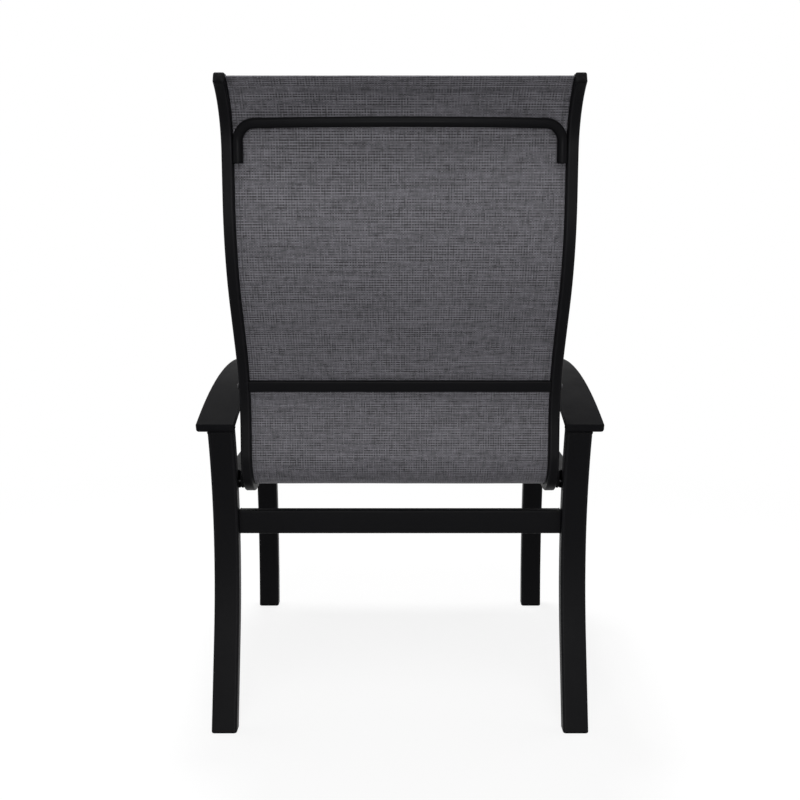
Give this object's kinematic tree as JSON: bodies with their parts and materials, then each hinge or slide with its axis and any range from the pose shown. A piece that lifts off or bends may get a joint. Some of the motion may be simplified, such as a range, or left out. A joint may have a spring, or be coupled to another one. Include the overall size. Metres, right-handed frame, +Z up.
{
  "type": "sling patio chair",
  "caption": "High-back outdoor armchair: one woven sling stretched between two bent rails, held in a welded tube frame with arched flat arms.",
  "frame": {"origin": "on the floor below the middle of the whole chair", "axes": "+Z up, -Y the way the sitter faces, +X to the sitter's left"},
  "size_m": [0.662, 0.7202, 1.0413],
  "materials": {
    "frame": "satin black powder coat on aluminium",
    "sling": "woven heathered grey sling cloth",
    "plastic": "matte black plastic",
    "steel": "black coated steel bolt"
  },
  "bodies": {
    "root": {"seat_rail_left": "frame", "seat_rail_right": "frame", "rail_top_cap_left": "plastic", "rail_top_cap_right": "plastic", "rail_front_cap_left": "plastic", "rail_front_cap_right": "plastic", "edge_cord_left": "plastic", "edge_cord_right": "plastic", "sling": "sling", "top_brace": "frame", "mid_brace": "frame", "mid_brace_bolt_left": "steel", "mid_brace_bolt_right": "steel", "seat_brace": "frame", "seat_brace_bolt_left": "steel", "seat_brace_bolt_right": "steel", "rear_leg_left": "frame", "rear_leg_right": "frame", "rear_foot_glide_left": "plastic", "rear_foot_glide_right": "plastic", "front_leg_left": "frame", "front_leg_right": "frame", "front_foot_glide_left": "plastic", "front_foot_glide_right": "plastic", "arm_left": "frame", "arm_right": "frame", "side_rail_left": "frame", "side_rail_right": "frame", "rear_stretcher": "frame", "front_stretcher": "frame", "front_spacer_left": "plastic", "front_spacer_right": "plastic", "rear_spacer_left": "plastic", "rear_spacer_right": "plastic", "front_rail_bolt_left": "steel", "front_rail_bolt_right": "steel", "rear_rail_bolt_left": "steel", "rear_rail_bolt_right": "steel"}
  },
  "joints": []
}
